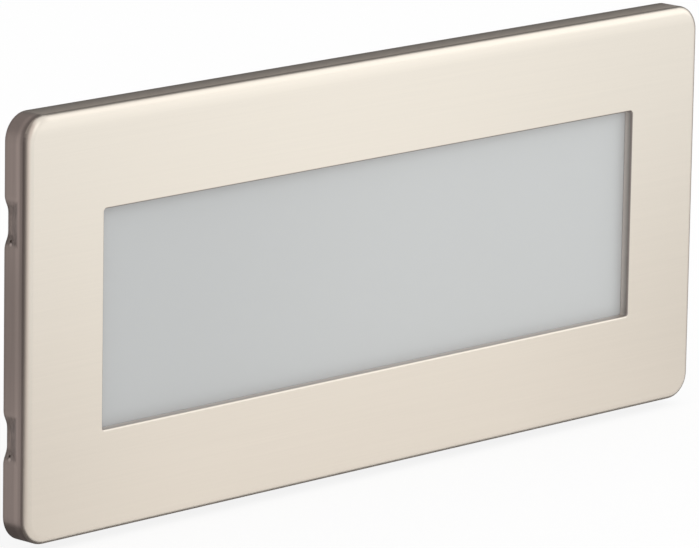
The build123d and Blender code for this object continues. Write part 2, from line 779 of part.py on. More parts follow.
with BuildPart() as board_screws:
    with BuildSketch(wall_plane(box_floor + board_thread_depth)):
        with Locations(*board_screws_at):
            Circle(board_screw_radius)
    extrude(amount=box_floor + board_thread_depth - panel_front)
    with BuildSketch(wall_plane(panel_front)):
        with Locations(*board_screws_at):
            Circle(board_screw_head_radius)
    extrude(amount=board_screw_head_height)
    with BuildSketch(wall_plane(panel_front - board_screw_head_height + cross_depth)):
        with Locations(*board_screws_at):
            cross_recess(board_screw_head_radius)
    extrude(amount=cross_depth, mode=Mode.SUBTRACT)
save(board_screws, "board_screws")

with BuildPart() as board_connector:
    with BuildSketch(wall_plane(board_front)):
        with Locations((connector_x, grommet_z)):
            Rectangle(connector_length, connector_height)
    extrude(amount=connector_depth)
    with BuildSketch(Plane.YZ.offset(connector_x - connector_length / 2)):
        with Locations(*[(lead_y, grommet_z + i * led_lead_spacing / 2) for i in (-1, 1)]):
            Circle(led_lead_radius + lead_hole_clearance)
    extrude(amount=lead_grip, mode=Mode.SUBTRACT)
save(board_connector, "board_connector")

# Rubber grommet that lines the lead hole in the tray's back wall
with BuildPart() as lead_grommet:
    with BuildSketch(wall_plane(box_back + grommet_flange_thickness)):
        with Locations((grommet_x, grommet_z)):
            Circle(grommet_flange_radius)
    extrude(amount=grommet_flange_thickness)
    with BuildSketch(wall_plane(box_back)):
        with Locations((grommet_x, grommet_z)):
            Circle(grommet_hole_radius)
    extrude(amount=box_back_wall)
    with BuildSketch(wall_plane(box_floor)):
        with Locations((grommet_x, grommet_z)):
            Circle(grommet_flange_radius)
    extrude(amount=grommet_flange_thickness)
    with BuildSketch(wall_plane(box_back + grommet_flange_thickness)):
        with Locations((grommet_x, grommet_z)):
            Circle(grommet_bore_radius)
    extrude(amount=box_back_wall + 2 * grommet_flange_thickness, mode=Mode.SUBTRACT)
save(lead_grommet, "lead_grommet")

# Driver: potted module with two screw ears
with BuildPart() as driver:
    with BuildSketch(wall_plane(box_back + driver_thickness)):
        with Locations((driver_x, 0)):
            RectangleRounded(driver_length, driver_height, driver_corner_radius)
    extrude(amount=driver_thickness)
    chamfer(driver.faces().sort_by(Axis.Y)[-1].edges(), length=driver_chamfer)
    with BuildSketch(wall_plane(box_back + driver_ear_thickness)):
        with Locations((driver_x, 0)):
            Rectangle(driver_length + 2 * driver_ear_length, driver_ear_height)
        with Locations(*driver_screws_at):
            Circle(driver_screw_radius, mode=Mode.SUBTRACT)
    extrude(amount=driver_ear_thickness)
    with BuildSketch(Plane.YZ.offset(driver_end)):
        with Locations(*[(led_exit_y, grommet_z + i * led_lead_spacing / 2) for i in (-1, 1)]):
            Circle(led_lead_radius + lead_hole_clearance)
        with Locations(*[(terminal_entry_y, z) for z in terminal_poles[1:]]):
            Circle(mains_lead_radius + lead_hole_clearance)
    extrude(amount=-lead_grip, mode=Mode.SUBTRACT)
save(driver, "driver")

with BuildPart() as driver_screws:
    with BuildSketch(wall_plane(box_back + driver_ear_thickness)):
        with Locations(*driver_screws_at):
            Circle(driver_screw_radius)
    extrude(amount=driver_ear_thickness + rear_thread_depth)
    with BuildSketch(wall_plane(box_back + driver_ear_thickness + driver_screw_head_height)):
        with Locations(*driver_screws_at):
            Circle(driver_screw_head_radius)
    extrude(amount=driver_screw_head_height)
save(driver_screws, "driver_screws")

# Three-pole terminal block with a clamp screw over each wire entry
with BuildPart() as terminal_block:
    with BuildSketch(wall_plane(terminal_top)):
        with Locations((terminal_x, terminal_z)):
            Rectangle(terminal_length, terminal_height)
    extrude(amount=terminal_depth)
    chamfer(terminal_block.faces().sort_by(Axis.Y)[-1].edges(), length=terminal_chamfer)
    with BuildSketch(wall_plane(terminal_top)):
        with Locations(*terminal_screws_at):
            Circle(terminal_screw_radius + terminal_well_clearance)
    extrude(amount=terminal_well_depth, mode=Mode.SUBTRACT)
    with BuildSketch(Plane.YZ.offset(terminal_face)):
        with Locations(*[(terminal_entry_y, z) for z in terminal_poles]):
            Circle(terminal_entry_radius)
    extrude(amount=terminal_length, mode=Mode.SUBTRACT)
save(terminal_block, "terminal_block")

with BuildPart() as terminal_screws:
    with BuildSketch(wall_plane(terminal_top - terminal_screw_sunk)):
        with Locations(*terminal_screws_at):
            Circle(terminal_screw_radius)
    extrude(amount=terminal_screw_length)
    with BuildSketch(wall_plane(terminal_top - terminal_screw_sunk)):
        with Locations(*terminal_screws_at):
            Rectangle(2 * terminal_screw_radius, terminal_slot_width)
    extrude(amount=cross_depth, mode=Mode.SUBTRACT)
save(terminal_screws, "terminal_screws")

# Earth point on the tray: ring lug under a screw
with BuildPart() as earth_lug:
    with BuildSketch(wall_plane(earth_lug_back)):
        with Locations((earth_x, earth_z)):
            Circle(earth_lug_radius)
        with Locations((earth_x + earth_tongue_end / 2, earth_z)):
            Rectangle(earth_tongue_end, earth_tongue_width)
        with Locations((earth_x, earth_z)):
            Circle(earth_screw_radius + earth_lug_clearance, mode=Mode.SUBTRACT)
    extrude(amount=earth_lug_thickness)
    with BuildSketch(Plane.YZ.offset(earth_x + earth_barrel_start)):
        with Locations((earth_lead_y, earth_z)):
            Circle(earth_barrel_radius)
            Circle(mains_lead_radius + earth_lug_clearance, mode=Mode.SUBTRACT)
    extrude(amount=earth_barrel_length)
save(earth_lug, "earth_lug")

with BuildPart() as earth_screw:
    with BuildSketch(wall_plane(earth_lug_back)):
        with Locations((earth_x, earth_z)):
            Circle(earth_screw_radius)
    extrude(amount=earth_lug_thickness + rear_thread_depth)
    with BuildSketch(wall_plane(earth_lug_back + earth_head_height)):
        with Locations((earth_x, earth_z)):
            Circle(earth_head_radius)
    extrude(amount=earth_head_height)
    with BuildSketch(wall_plane(earth_lug_back + earth_head_height)):
        with Locations((earth_x, earth_z)):
            cross_recess(earth_head_radius)
    extrude(amount=cross_depth, mode=Mode.SUBTRACT)
save(earth_screw, "earth_screw")

# Leads: the pair to the board through the grommet, the pair to the terminals, and the earth lead
with BuildPart() as led_leads:
    for i in (-1, 1):
        z = grommet_z + i * led_lead_spacing / 2
        with BuildLine() as route:
            FilletPolyline((driver_end - lead_grip, led_exit_y, z), (grommet_x, led_exit_y, z),
                           (grommet_x, lead_y, z),
                           (connector_x - connector_length / 2 + lead_grip, lead_y, z), radius=led_lead_bend)
        with BuildSketch(Plane(origin=route.line @ 0, z_dir=route.line % 0)):
            Circle(led_lead_radius)
        sweep()
save(led_leads, "led_leads")

with BuildPart() as driver_leads:
    for z in terminal_poles[1:]:
        with BuildLine() as route:
            FilletPolyline(
                (driver_end - lead_grip, terminal_entry_y, z),
                (driver_end + wiring_gap / 5, terminal_entry_y, z),
                (driver_end + wiring_gap / 2, terminal_entry_y + mains_lead_rise, z),
                (terminal_face - wiring_gap / 5, terminal_entry_y, z),
                (terminal_face + lead_grip, terminal_entry_y, z),
                radius=mains_lead_bend,
            )
        with BuildSketch(Plane(origin=route.line @ 0, z_dir=route.line % 0)):
            Circle(mains_lead_radius)
        sweep()
save(driver_leads, "driver_leads")

with BuildPart() as earth_lead:
    with BuildLine() as route:
        FilletPolyline(
            (earth_x + earth_barrel_start, earth_lead_y, earth_z),
            (terminal_face - 2 * earth_lead_bend, earth_lead_y, earth_z),
            (terminal_face - lead_grip, terminal_entry_y, terminal_poles[0]),
            (terminal_face + lead_grip, terminal_entry_y, terminal_poles[0]),
            radius=earth_lead_bend,
        )
    with BuildSketch(Plane(origin=route.line @ 0, z_dir=route.line % 0)):
        Circle(mains_lead_radius)
    sweep()
save(earth_lead, "earth_lead")

# Wiring compartment: seal, moulded cover with end ears, and its screws
with BuildPart() as cover_seal:
    with BuildSketch(wall_plane(cover_front)):
        RectangleRounded(cover_flange_width, cover_height, cover_corner_radius)
        RectangleRounded(cover_width - 2 * cover_wall, cover_height - 2 * cover_wall,
                         cover_corner_radius - cover_wall,
                         mode=Mode.SUBTRACT)
        with Locations(*cover_screws_at):
            Circle(cover_screw_radius, mode=Mode.SUBTRACT)
    extrude(amount=cover_seal_thickness)
save(cover_seal, "cover_seal")

with BuildPart() as driver_cover:
    with BuildSketch(wall_plane(cover_back)):
        RectangleRounded(cover_width, cover_height, cover_corner_radius)
    extrude(amount=cover_back - cover_front)
    fillet(driver_cover.faces().sort_by(Axis.Y)[-1].edges(), radius=cover_edge_radius)
    with BuildSketch(wall_plane(cover_front + cover_flange_thickness)):
        RectangleRounded(cover_flange_width, cover_height, cover_corner_radius)
    extrude(amount=cover_flange_thickness)
    with BuildSketch(wall_plane(cover_back - cover_wall)):
        RectangleRounded(cover_width - 2 * cover_wall, cover_height - 2 * cover_wall,
                         cover_corner_radius - cover_wall)
    extrude(amount=cover_back - cover_wall - cover_front, mode=Mode.SUBTRACT)
    with BuildSketch(wall_plane(cover_front + cover_flange_thickness)):
        with Locations(*cover_screws_at):
            Circle(cover_screw_radius)
    extrude(amount=cover_flange_thickness, mode=Mode.SUBTRACT)
    with BuildSketch(Plane.YZ.offset(cover_end - 2 * cover_wall)):
        with Locations((gland_y, 0)):
            Circle(gland_thread_radius + gland_hole_clearance)
    extrude(amount=4 * cover_wall, mode=Mode.SUBTRACT)
    with BuildSketch(wall_plane(cover_back + cover_rib_height)):
        with Locations(*cover_ribs_at):
            SlotOverall(cover_height - 2 * cover_rib_inset, cover_rib_width, rotation=90)
    extrude(amount=cover_rib_height)
save(driver_cover, "driver_cover")

with BuildPart() as cover_screws:
    with BuildSketch(wall_plane(cover_front + cover_flange_thickness)):
        with Locations(*cover_screws_at):
            Circle(cover_screw_radius)
    extrude(amount=cover_seal_thickness + cover_flange_thickness + rear_thread_depth)
    with BuildSketch(wall_plane(cover_front + cover_flange_thickness + cover_screw_head_height)):
        with Locations(*cover_screws_at):
            Circle(cover_screw_head_radius)
    extrude(amount=cover_screw_head_height)
    with BuildSketch(wall_plane(cover_front + cover_flange_thickness + cover_screw_head_height)):
        with Locations(*cover_screws_at):
            cross_recess(cover_screw_head_radius)
    extrude(amount=cross_depth, mode=Mode.SUBTRACT)
save(cover_screws, "cover_screws")

# Cable gland along +X: sealing washer, hexagon body, lock nut inside, split rubber seal and domed cap nut
gland_start = cover_end + gland_washer_thickness
gland_collar_start = gland_start + gland_hex_thickness
gland_inner_end = cover_end - cover_wall - gland_locknut_thickness - gland_thread_end
gland_cap_start = gland_collar_start + gland_cap_gap
with BuildPart() as gland_washer:
    with BuildSketch(Plane.YZ.offset(cover_end)):
        with Locations((gland_y, 0)):
            Circle(gland_washer_radius)
            Circle(gland_thread_radius + gland_hole_clearance, mode=Mode.SUBTRACT)
    extrude(amount=gland_washer_thickness)
save(gland_washer, "gland_washer")

with BuildPart() as gland_body:
    with BuildSketch(Plane.YZ.offset(gland_inner_end)):
        with Locations((gland_y, 0)):
            Circle(gland_thread_radius)
    extrude(amount=gland_start - gland_inner_end)
    with BuildSketch(Plane.YZ.offset(gland_start)):
        with Locations((gland_y, 0)):
            RegularPolygon(gland_hex_radius, 6)
    extrude(amount=gland_hex_thickness)
    with BuildSketch(Plane.YZ.offset(gland_collar_start)):
        with Locations((gland_y, 0)):
            Circle(gland_thread_radius + gland_collar_step)
    extrude(amount=gland_collar_length)
    with BuildSketch(Plane.YZ.offset(gland_inner_end)):
        with Locations((gland_y, 0)):
            Circle(gland_bore_radius)
    extrude(amount=gland_collar_start + gland_collar_length - gland_inner_end, mode=Mode.SUBTRACT)
save(gland_body, "gland_body")

with BuildPart() as gland_locknut:
    with BuildSketch(Plane.YZ.offset(cover_end - cover_wall - gland_locknut_thickness)):
        with Locations((gland_y, 0)):
            RegularPolygon(gland_hex_radius, 6)
            Circle(gland_thread_radius + gland_thread_clearance, mode=Mode.SUBTRACT)
    extrude(amount=gland_locknut_thickness)
save(gland_locknut, "gland_locknut")

with BuildPart() as gland_seal:
    with BuildSketch(Plane.YZ.offset(gland_collar_start - gland_seal_start)):
        with Locations((gland_y, 0)):
            Circle(gland_bore_radius - gland_thread_clearance)
            Circle(gland_seal_bore_radius, mode=Mode.SUBTRACT)
    extrude(amount=gland_collar_length + gland_seal_start)
save(gland_seal, "gland_seal")

with BuildPart() as gland_nut:
    with BuildSketch(Plane.YZ.offset(gland_cap_start)):
        with Locations((gland_y, 0)):
            RegularPolygon(gland_hex_radius, 6)
    extrude(amount=gland_cap_hex_length)
    with BuildSketch(Plane.YZ.offset(gland_cap_start + gland_cap_hex_length)):
        with Locations((gland_y, 0)):
            Circle(gland_cap_dome_radius)
    extrude(amount=gland_cap_dome_length)
    fillet(gland_nut.faces().sort_by(Axis.X)[-1].edges(), radius=gland_cap_edge_radius)
    with BuildSketch(Plane.YZ.offset(gland_cap_start)):
        with Locations((gland_y, 0)):
            Circle(gland_thread_radius + gland_collar_step + gland_thread_clearance)
    extrude(amount=gland_collar_length, mode=Mode.SUBTRACT)
    with BuildSketch(Plane.YZ.offset(gland_cap_start)):
        with Locations((gland_y, 0)):
            Circle(gland_seal_bore_radius + gland_cap_hole_clearance)
    extrude(amount=gland_cap_hex_length + gland_cap_dome_length, mode=Mode.SUBTRACT)
save(gland_nut, "gland_nut")

# Wall clamps: captive screws through the frame, and wings that lie flat until the screws turn them out
with BuildPart() as captive_washers:
    with BuildSketch(wall_plane(frame_back + washer_thickness)):
        with Locations(*clamps):
            Circle(washer_radius)
            Circle(clamp_screw_radius + clamp_running_clearance, mode=Mode.SUBTRACT)
    extrude(amount=washer_thickness)
save(captive_washers, "captive_washers")

for number, (x, z) in enumerate(clamps, start=1):
    with BuildPart() as clamp_screw:
        with BuildSketch(wall_plane(clamp_screw_end)):
            with Locations((x, z)):
                Circle(clamp_screw_radius)
        extrude(amount=clamp_screw_end - head_back)
        with BuildSketch(wall_plane(clamp_screw_end)):
            with Locations((x, z)):
                Circle(clamp_end_stop_radius)
        extrude(amount=clamp_end_stop_length)
        with BuildSketch(wall_plane(head_back)):
            with Locations((x, z)):
                Circle(clamp_head_radius)
        extrude(amount=clamp_head_height)
        with BuildSketch(wall_plane(head_back - clamp_head_height + cross_depth)):
            with Locations((x, z)):
                cross_recess(clamp_head_radius)
        extrude(amount=cross_depth, mode=Mode.SUBTRACT)
    save(clamp_screw, f"clamp_screw_{number}")

    inward = -x / abs(x)
    with BuildPart() as clamp_wing:
        with BuildSketch(wall_plane(wing_front + wing_thickness)):
            with Locations((x, z)):
                Circle(wing_half_width)
            with Locations((x + inward * wing_reach / 2, z)):
                Rectangle(wing_reach, 2 * wing_half_width)
        extrude(amount=wing_thickness)
        with BuildSketch(wall_plane(wing_front)):
            for tooth in (0, 1):
                tooth_at = wing_reach - wing_tooth_width / 2 - tooth * wing_tooth_pitch
                with Locations((x + inward * tooth_at, z)):
                    Rectangle(wing_tooth_width, 2 * wing_half_width)
        extrude(amount=wing_tooth_height)
        with BuildSketch(wall_plane(wing_front + wing_thickness)):
            with Locations((x, z)):
                Circle(clamp_screw_radius + clamp_running_clearance)
        extrude(amount=wing_thickness + wing_tooth_height, mode=Mode.SUBTRACT)
    save(clamp_wing, f"clamp_wing_{number}")
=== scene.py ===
"""Looks for the recessed wall light: materials, soft studio light and the photograph's camera."""
import json
import math

import bpy
from mathutils import Matrix, Vector

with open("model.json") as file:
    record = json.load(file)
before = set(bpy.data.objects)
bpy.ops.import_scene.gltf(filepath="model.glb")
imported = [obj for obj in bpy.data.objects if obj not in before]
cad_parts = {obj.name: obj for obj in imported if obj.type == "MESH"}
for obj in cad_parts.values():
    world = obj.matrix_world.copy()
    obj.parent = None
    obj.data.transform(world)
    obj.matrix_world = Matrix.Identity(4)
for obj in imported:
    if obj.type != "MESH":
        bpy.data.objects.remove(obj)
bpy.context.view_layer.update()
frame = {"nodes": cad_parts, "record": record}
nodes = frame["nodes"]
scene = bpy.context.scene
scene.view_settings.view_transform = "Standard"

# Places on the part, in metres
plate_middle = (0.0, 0.0, 0.0)
window_half = (0.0947, 0.0272)
return_margin = 0.0008
dent_z = 0.02625
# Place and size of the painted highlight beside the dents' press mark
painted_glint_y, painted_glint_along, painted_glint_radius = -0.0019, -0.0053, 0.0006

# Places on the stage, in metres; the flags stand round the plate's two ends
floor_z = -0.0545
flag_z = floor_z + 0.0004
under_z = flag_z + 0.0002
floor_reach = 6.0
left_end, right_end = (-0.118, -0.006), (0.119, -0.006)
hood_profile = ((0.30, 0.14), (0.30, 0.35), (0.12, 0.50))

# Metres along the plate for each metre in front of it, on the mirrored line of sight
mirror_slope = 1.04

# Colours
nickel_face = ((0.774, 0.714, 0.629), (0.806, 0.744, 0.656))
# The ends' colours are painted shade, darker than the face
nickel_ends_painted_dark = ((0.44, 0.385, 0.355), (0.54, 0.475, 0.435))
# The returns' colours are painted shade: the jamb darkest, the upward sill lighter, the deep part near the
# face's colour
return_jamb_painted_shade, return_sill_painted_shade = (0.30, 0.268, 0.252), (0.56, 0.51, 0.475)
return_deep = (0.80, 0.735, 0.69)
# Colour of the painted highlight beside the dents' press mark
painted_burr_highlight = (0.78, 0.70, 0.65)
# The glass colours hold painted shade: the rim pair is darker, and each pair runs from the darker left end
# to the right
glass_painted_rim_shade = ((0.485, 0.497, 0.498), (0.549, 0.562, 0.561))
glass_open = ((0.502, 0.515, 0.516), (0.568, 0.582, 0.581))
flag_grey = (1.0, 0.92, 0.91, 1.0)
card_near, card_far = (1.0, 0.975, 0.955), (0.975, 1.012, 1.035)
paper_white = (0.96, 0.96, 0.96, 1.0)
paper_glow, paper_glow_share = 1.0, 0.85
sky_white, sky_strength = (1.0, 1.0, 1.0, 1.0), 0.95


# Node helpers
class Tree:
    """A material's node tree with a Principled shader, built up by short calls."""

    def __init__(self, name):
        self.material = bpy.data.materials.new(name)
        self.material.use_nodes = True
        self.nodes = self.material.node_tree.nodes
        self.links = self.material.node_tree.links
        self.shader = next(n for n in self.nodes if n.type == "BSDF_PRINCIPLED")
        self.place = self.nodes.new("ShaderNodeTexCoord").outputs["Object"]

    def put(self, socket, value):
        if hasattr(value, "is_output"):
            self.links.new(value, socket)
        else:
            socket.default_value = value

    def set(self, **values):
        for name, value in values.items():
            self.put(self.shader.inputs[name.replace("_", " ")], value)

    def math(self, operation, a, b=0.0):
        node = self.nodes.new("ShaderNodeMath")
        node.operation = operation
        self.put(node.inputs[0], a)
        self.put(node.inputs[1], b)
        return node.outputs[0]

    def plus(self, a, b):
        return self.math("ADD", a, b)

    def minus(self, a, b):
        return self.math("SUBTRACT", a, b)

    def times(self, product, *factors):
        for factor in factors:
            product = self.math("MULTIPLY", product, factor)
        return product

    def size(self, value):
        return self.math("ABSOLUTE", value)

    def vector(self, operation, a, b):
        node = self.nodes.new("ShaderNodeVectorMath")
        node.operation = operation
        self.put(node.inputs[0], a)
        self.put(node.inputs[1], b)
        return node.outputs[0]

    def axes(self, vector):
        node = self.nodes.new("ShaderNodeSeparateXYZ")
        self.put(node.inputs[0], vector)
        return node.outputs

    def noise(self, scale, detail=3.0, roughness=0.55, stretch=(1, 1, 1)):
        node = self.nodes.new("ShaderNodeTexNoise")
        self.put(node.inputs["Vector"], self.vector("MULTIPLY", self.place, stretch))
        node.inputs["Scale"].default_value = scale
        node.inputs["Detail"].default_value = detail
        node.inputs["Roughness"].default_value = roughness
        return node.outputs["Fac"]

    def span(self, value, low, high, to_low=0.0, to_high=1.0, smooth=False):
        node = self.nodes.new("ShaderNodeMapRange")
        node.interpolation_type = "SMOOTHSTEP" if smooth else "LINEAR"
        for socket, number in zip(node.inputs, (value, low, high, to_low, to_high)):
            self.put(socket, number)
        return node.outputs[0]

    def blend(self, factor, a, b):
        node = self.nodes.new("ShaderNodeMix")
        node.data_type = "RGBA"
        self.put(node.inputs["Factor"], factor)
        for name, colour in (("A", a), ("B", b)):
            socket = next(s for s in node.inputs if s.name == name and s.type == "RGBA")
            self.put(socket, colour if hasattr(colour, "is_output") else (*colour, 1.0))
        return next(s for s in node.outputs if s.type == "RGBA")

    def sum(self, a, weight, b):
        return self.plus(self.times(a, weight), self.times(b, 1.0 - weight))

    def emit(self, shader):
        out = next(n for n in self.nodes if n.type == "OUTPUT_MATERIAL")
        self.put(out.inputs["Surface"], shader.outputs[0])

    def bump(self, height, strength, distance):
        node = self.nodes.new("ShaderNodeBump")
        node.inputs["Strength"].default_value = strength
        node.inputs["Distance"].default_value = distance
        self.put(node.inputs["Height"], height)
        self.put(self.shader.inputs["Normal"], node.outputs[0])


# Materials. The nickel's tones by place are painted light and shade, fitted to the photograph's light.
def top_painted_light(t, y, z, rise, in_window):
    """Painted light on the top edge: painted shade on the top skirt towards the wall and along the start of
    its bend, and a painted highlight on the face just below."""
    flat = t.math("MAXIMUM", t.minus(t.span(rise, 0.97, 0.995), in_window), 0.0)
    bend = t.times(t.span(rise, 0.998, 0.985), t.span(rise, 0.82, 0.92))
    # Painted shade towards the wall and along the start of the bend
    painted_wall_shade = t.times(flat, t.span(y, 0.0, -0.0062, 0.48, -0.12))
    line = t.times(t.minus(bend, t.times(bend, in_window)), 0.40)
    # Painted highlight on the face just below the top bend
    painted_crown_highlight = t.times(t.span(z, 0.0472, 0.0507, 0.0, 0.105, smooth=True), t.span(rise, 0.5, 0.15))
    return t.minus(t.minus(t.plus(painted_crown_highlight, 1.0), painted_wall_shade), line)


def end_painted_light(t, y, z):
    """Painted light on the end skirts: a painted highlight streak just behind the bend, painted shade at the
    wall, at the bend and half-way up, and a painted highlight towards the top."""
    # Painted highlights and painted shade on the end skirts
    painted_streak_highlight = t.times(t.span(y, -0.0034, -0.0043, 0.0, 0.17, smooth=True),
                     t.span(y, -0.0056, -0.0047, smooth=True))
    painted_end_wall_shade = t.span(y, -0.0001, -0.0009, 0.82, 1.0)
    painted_bend_shade_level = t.span(z, -0.01, 0.035, 0.98, 0.72)
    painted_bend_shade = t.span(y, -0.0047, -0.0058, 1.0, painted_bend_shade_level, smooth=True)
    painted_halfway_shade = t.span(t.size(z), 0.006, 0.026, 0.93, 1.06, smooth=True)
    painted_top_highlight = t.span(z, 0.015, 0.035, 1.0, 1.08, smooth=True)
    return t.times(painted_end_wall_shade, painted_bend_shade, painted_halfway_shade, painted_top_highlight, t.plus(painted_streak_highlight, 1.0))


def dent_painted_light(t, skin, place, normal):
    """The pressed dents carry painted shade with a random scuffed tone, darker on their slopes, and a
    painted highlight beside the press tool's mark.
    """
    x, y, z = place
    across, forth, rise = normal
    along = t.times(t.minus(t.times(t.math("SIGN", z), dent_z), z), t.math("SIGN", x))
    hollow = t.times(t.span(t.size(x), 0.11995, 0.11965, smooth=True),
                     t.math("GREATER_THAN", t.times(x, across), 0.0),
                     t.span(t.size(along), 0.0070, 0.0064))
    # Random scuffs that also paint the dent darker as shade
    scuff_and_painted_shade = t.span(t.noise(1300.0, 2.0, 0.6, (1.0, 1.0, 0.35)), 0.38, 0.62, 0.70, 0.92)
    # Painted shade on the upper and lower slopes and on the front-facing walls
    upper = t.times(t.span(along, 0.0060, 0.0032, 0.0, 0.28, smooth=True),
                    t.span(along, 0.001, 0.0026, smooth=True),
                    t.span(forth, 0.1, 0.3, 1.0, 0.4))
    lower = t.times(t.span(along, -0.0022, -0.0036, 0.0, 0.28, smooth=True),
                    t.span(along, -0.0056, -0.0048, smooth=True),
                    t.span(t.size(rise), 0.08, 0.22))
    front = t.span(forth, 0.1, 0.3, 0.0, 0.10)
    shade = t.minus(1.0, t.plus(upper, t.plus(lower, front)))
    painted_dent_shade = t.vector("MULTIPLY", skin, t.times(scuff_and_painted_shade, shade))
    # Painted highlight: a small round spot beside the press mark
    off_y, off_along = (t.math("POWER", t.math("DIVIDE", t.minus(value, centre), painted_glint_radius), 2.0)
                        for value, centre in ((y, painted_glint_y), (along, painted_glint_along)))
    painted_burr_glint = t.span(t.plus(off_y, off_along), 0.0, 1.0, 1.0, 0.0, smooth=True)
    return t.blend(hollow, skin, t.blend(painted_burr_glint, painted_dent_shade, painted_burr_highlight))


def satin_nickel():
    """Brushed and lacquered nickel: the grain runs along the plate and the ends have an upright drawn grain.
    The ends, the dents, the top edge and the window's returns carry painted shade and highlights."""
    t = Tree("satin_nickel")
    normal = t.nodes.new("ShaderNodeNewGeometry").outputs["True Normal"]
    x, y, z = t.axes(t.place)
    across, forth, rise = t.axes(normal)
    sideways = t.size(across)
    end_skirt = t.times(t.span(t.size(x), 0.1125, 0.1165, smooth=True),
                        t.span(y, -0.0064, -0.0060, smooth=True))
    end = t.math("MAXIMUM", t.span(sideways, 0.85, 0.97), end_skirt)
    in_window = t.times(t.math("LESS_THAN", t.size(x), window_half[0] + return_margin),
                        t.math("LESS_THAN", t.size(z), window_half[1] + return_margin))
    # Painted shade on the window's returns, the upward sill lighter
    sill = t.span(rise, 0.90, 0.98)
    turned = t.math("MAXIMUM", t.span(sideways, 0.25, 0.45), t.span(rise, -0.25, -0.45))
    inside = t.times(in_window, t.math("MAXIMUM", turned, sill))
    return_front_painted_shade = t.blend(sill, return_jamb_painted_shade, return_sill_painted_shade)
    return_painted_shade = t.blend(t.span(y, -0.0076, -0.0060), return_front_painted_shade, return_deep)
    hairline = t.noise(3200.0, 2.0, 0.6, (0.010, 1.0, 1.0))
    brushed = t.noise(1100.0, 3.0, 0.6, (0.012, 1.0, 1.0))
    drawn = t.noise(1500.0, 3.0, 0.6, (1.0, 1.0, 0.05))
    grain = t.blend(end, t.sum(hairline, 0.6, brushed), drawn)
    cloud = t.noise(8.0, 2.0, 0.5)
    tone = t.span(t.sum(grain, 0.75, cloud), 0.3, 0.7)
    face = t.vector("MULTIPLY", t.blend(tone, *nickel_face), top_painted_light(t, y, z, rise, in_window))
    ends = t.vector("MULTIPLY", t.blend(drawn, *nickel_ends_painted_dark), end_painted_light(t, y, z))
    ends = dent_painted_light(t, ends, (x, y, z), (across, forth, rise))
    skin = t.blend(end, face, ends)
    t.set(Base_Color=t.blend(inside, skin, return_painted_shade), Metallic=1.0,
          Roughness=t.span(grain, 0.25, 0.75, 0.33, 0.39), Anisotropic=0.5, Anisotropic_Rotation=0.25)
    t.put(t.shader.inputs["Tangent"], t.vector("CROSS_PRODUCT", normal, (0.0, 0.3, 1.0)))
    t.bump(grain, 0.05, 0.00004)
    return t.material


def frosted_glass():
    """Etched white glass with painted shade: darker towards one end, and darker at the window's edges, where
    light leaks away."""
    t = Tree("frosted_glass")
    x, _, z = t.axes(t.place)
    side = t.minus(window_half[0], t.size(x))
    rim = t.minus(window_half[1], t.size(z))
    # Painted shade at the window's edges and towards the left end
    lit = t.span(t.math("MINIMUM", side, rim), 0.0, 0.004, smooth=True)
    painted_side_shade_and_mottle = t.sum(t.span(x, -window_half[0], 0.03, smooth=True), 0.8, t.noise(14.0, 2.0, 0.5))
    frost = t.noise(2600.0, 2.0, 0.6)
    t.set(Base_Color=t.blend(lit, t.blend(painted_side_shade_and_mottle, *glass_painted_rim_shade), t.blend(painted_side_shade_and_mottle, *glass_open)),
          Roughness=t.span(frost, 0.3, 0.7, 0.42, 0.56), Specular_IOR_Level=0.35)
    t.bump(frost, 0.08, 0.00005)
    return t.material


def finish(name, low, high, metallic=0.0, rough=(0.4, 0.55), scale=900.0, depth=0.00004,
           stretch=(1, 1, 1), cloud=22.0, strength=0.3):
    """A finish with a fine grain in bump and roughness and a soft, wide change of tone."""
    t = Tree(name)
    fine = t.noise(scale, 3.0, 0.6, stretch)
    tone = t.sum(fine, 0.45, t.noise(cloud, 3.0, 0.55))
    t.set(Base_Color=t.blend(t.span(tone, 0.3, 0.7), low, high), Metallic=metallic,
          Roughness=t.span(fine, 0.25, 0.75, *rough))
    t.bump(fine, strength, depth)
    return t.material


